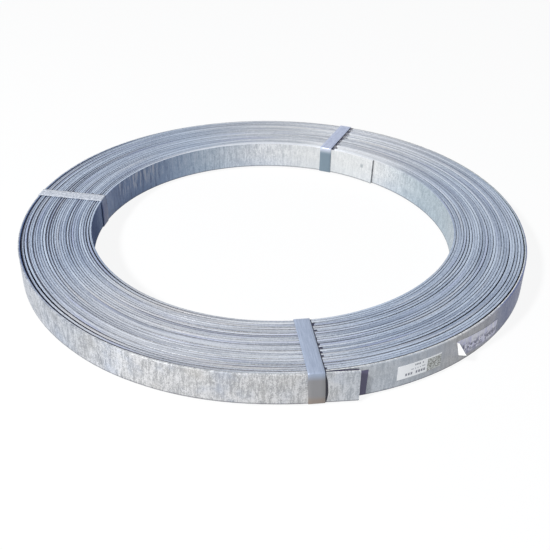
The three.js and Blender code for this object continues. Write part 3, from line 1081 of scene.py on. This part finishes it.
def steel_strapping(name, tones):
    """Cold-rolled steel band, smooth with a faint grain along it, with painted light and shade
    where it faces outwards or into the bore.
    """
    material, tree, shader = new_material(name, metallic=0.3)
    place, parts = attribute(tree, "strap_place")
    height = parts[2]
    outwards = attribute(tree, "strap_facing")[1][0]
    grain = noise(place, 700, (0.08, 1.0, 0.5), detail=4)
    clouds = noise(place, 330, detail=5, roughness=0.7)
    tone = weighed((grain, 1 - tones["mottling"]), (clouds, tones["mottling"]))
    shade = blended(span(tone, 0.34, 0.66), *tones["flat"])
    # Painted light and shade on the wall and in the bore: a painted highlight towards the top.
    up = span(height, 34 * MM, 44 * MM) + tone * 0.1
    foot, middle, top = tones["wall"]
    wall_shade = blended(up, blended(span(height, 6 * MM, 16 * MM), foot, middle), top)
    shade = blended(span(outwards, 0.5, 0.9), shade, wall_shade)
    shade = blended(span(outwards, -0.5, -0.9), shade, blended(up, *tones["bore"]))
    drive(shader, "Base Color", shade)
    drive(shader, "Roughness", span(clouds, 0.3, 0.7, 0.28, 0.42))
    bumped(shader, clouds, 0.04 * MM)
    return material


def strapping_seal():
    """Galvanised crimped seal."""
    material, tree, shader = new_material("strapping_seal", metallic=0.6)
    place = Value(add_node(tree, "ShaderNodeTexCoord").outputs["Object"])
    clouds = noise(place, 300, detail=4)
    drive(shader, "Base Color", blended(clouds, (120, 126, 134), (186, 192, 198)))
    drive(shader, "Roughness", span(clouds, 0.3, 0.7, 0.3, 0.5))
    bumped(shader, clouds, 0.05 * MM)
    return material


def label_paper():
    """White paper with rows of plain dashes and a mottled block."""
    material, tree, shader = new_material("label_paper", metallic=0.0, roughness=0.6)
    place, parts = attribute(tree, "sheet_place")
    along, up = parts[:2]
    fibre = noise(place, 900)
    shade = blended(fibre, (238, 239, 241), (252, 252, 252))
    printed = 0.0
    for start, end, low, high, pitch, amount in PAPER_ROWS:
        column = along / (pitch * MM)
        row = inside(along, start * MM, end * MM) * inside(up, low * MM, high * MM)
        row = row * (random_step(column) < amount) * (maths("FRACT", column) < PAPER_DASH)
        printed = maths("MAXIMUM", printed, row)
    shade = blended(printed * 0.85, shade, (88, 92, 108))
    cells = worked_out(
        "ShaderNodeVectorMath", {0: place, 1: (PAPER_BLOCK_CELL,) * 3}, operation="DIVIDE",
    )
    cells = worked_out("ShaderNodeVectorMath", {0: cells}, operation="FLOOR")
    block_tone = worked_out("ShaderNodeTexWhiteNoise", {"Vector": cells})
    block = inside(along, 39 * MM, 60 * MM) * inside(up, -1 * MM, 17 * MM)
    shade = blended(block, shade, blended(block_tone, (88, 88, 78), (236, 238, 236)))
    drive(shader, "Base Color", shade)
    bumped(shader, fibre, 0.02 * MM)
    return material


def label_film():
    """Pale film with blotchy dark print on its front and a white back."""
    material, tree, shader = new_material("label_film", metallic=0.0, roughness=0.35)
    place, parts = attribute(tree, "sheet_place")
    up, front = parts[1:]
    crease = noise(place, 260, (1.0, 0.4, 0.0), detail=4)
    shade = blended(span(crease, 0.35, 0.65), (216, 214, 242), (248, 246, 254))
    blots = noise(place, 190, (0.7, 1.0, 0.0), detail=4, roughness=0.8)
    marks = span(blots, 0.48, 0.53) * inside(up, 3 * MM, 12 * MM, 4 * MM)
    shade = blended(marks * 0.9, shade, (36, 44, 100))
    shade = blended(span(up, 4 * MM, 1 * MM) * 0.6, shade, (72, 78, 112))
    drive(shader, "Base Color", blended(front, (254, 253, 250), shade))
    bumped(shader, crease, 0.15 * MM)
    return material


# ---- Building ----

coil_strip(galvanised_strip())
for place, tones in STRAP_TONES.items():
    strap_band(place, steel_strapping("band_" + place, tones))
wall_sheet("paper_label", label_paper(), "label_paper", "label_paper", PAPER_LABEL)
wall_sheet("film_label", label_film(), "label_film", "label_film", FILM_LABEL, film_peel)

seal_steel = strapping_seal()
for place in STRAP_ANGLES:
    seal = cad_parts["seal_" + place]
    seal.data.materials.clear()
    seal.data.materials.append(seal_steel)
    rounding = seal.modifiers.new("rounded_edges", "BEVEL")
    rounding.width = 0.25 * MM
    rounding.segments = 2
    rounding.limit_method = "ANGLE"
    rounding.angle_limit = math.radians(40)


# ---- Floor, light and camera ----

def seen_directly(tree):
    """1 for rays from the camera, or by way of a mirror or glass, and 0 for the rest."""
    path = add_node(tree, "ShaderNodeLightPath").outputs
    seen = maths("MAXIMUM", Value(path["Is Camera Ray"]), Value(path["Is Glossy Ray"]))
    return maths("MAXIMUM", seen, Value(path["Is Transmission Ray"]))


def floor_plane():
    """A wide plain floor that shows white and keeps the shadow."""
    material, tree, shader = new_material("floor_white", metallic=0.0, roughness=0.9)
    seen = seen_directly(tree)
    drive(shader, "Base Color", blended(seen, *FLOOR_COLOURS))
    glow = add_node(tree, "ShaderNodeEmission", {"Color": WHITE, "Strength": 1.0})
    both = worked_out("ShaderNodeMixShader", {
        0: seen * FLOOR_WHITENESS,
        1: Value(shader.outputs["BSDF"]),
        2: Value(glow.outputs["Emission"]),
    })
    drive(tree.nodes["Material Output"], "Surface", both)
    corners = [(x * FLOOR_REACH, y * FLOOR_REACH, 0) for x, y in FLOOR_CORNERS]
    make_mesh("floor", corners, [(0, 1, 2, 3)], material)


def lamp(name, position, size, power):
    """A round soft lamp aimed at the middle of the floor."""
    light = bpy.data.lights.new(name, "AREA")
    light.shape = "DISK"
    light.size = size
    light.energy = power
    piece = bpy.data.objects.new(name, light)
    piece.location = position
    piece.rotation_euler = (-Vector(position)).to_track_quat("-Z", "Y").to_euler()
    bpy.context.scene.collection.objects.link(piece)


def set_world():
    """An even fill that shows white."""
    world = bpy.data.worlds.new("studio")
    world.use_nodes = True
    seen = seen_directly(world.node_tree)
    background = world.node_tree.nodes["Background"]
    drive(background, "Color", blended(seen, FILL_COLOUR, WHITE))
    drive(background, "Strength", span(seen, 0, 1, FILL_STRENGTH, 1.0))
    bpy.context.scene.world = world


def set_camera():
    """The camera, from where it stands, where it looks and how it is rolled."""
    lens = bpy.data.cameras.new("camera")
    lens.sensor_width = 36
    lens.lens = CAMERA_LENS
    lens.clip_start = 0.01
    piece = bpy.data.objects.new("camera", lens)
    down = math.radians(CAMERA_ELEVATION)
    turn = Matrix.Rotation(math.pi / 2 - down, 4, "X")
    aside = Matrix.Rotation(math.radians(CAMERA_AZIMUTH), 4, "Z")
    roll = Matrix.Rotation(math.radians(CAMERA_ROLL), 4, "Z")
    piece.matrix_world = Matrix.Translation(CAMERA_POSITION) @ aside @ turn @ roll
    bpy.context.scene.collection.objects.link(piece)
    bpy.context.scene.camera = piece


floor_plane()
set_world()
lamp("key", KEY_POSITION, KEY_SIZE, KEY_POWER)
set_camera()
bpy.context.scene.view_settings.view_transform = "Standard"
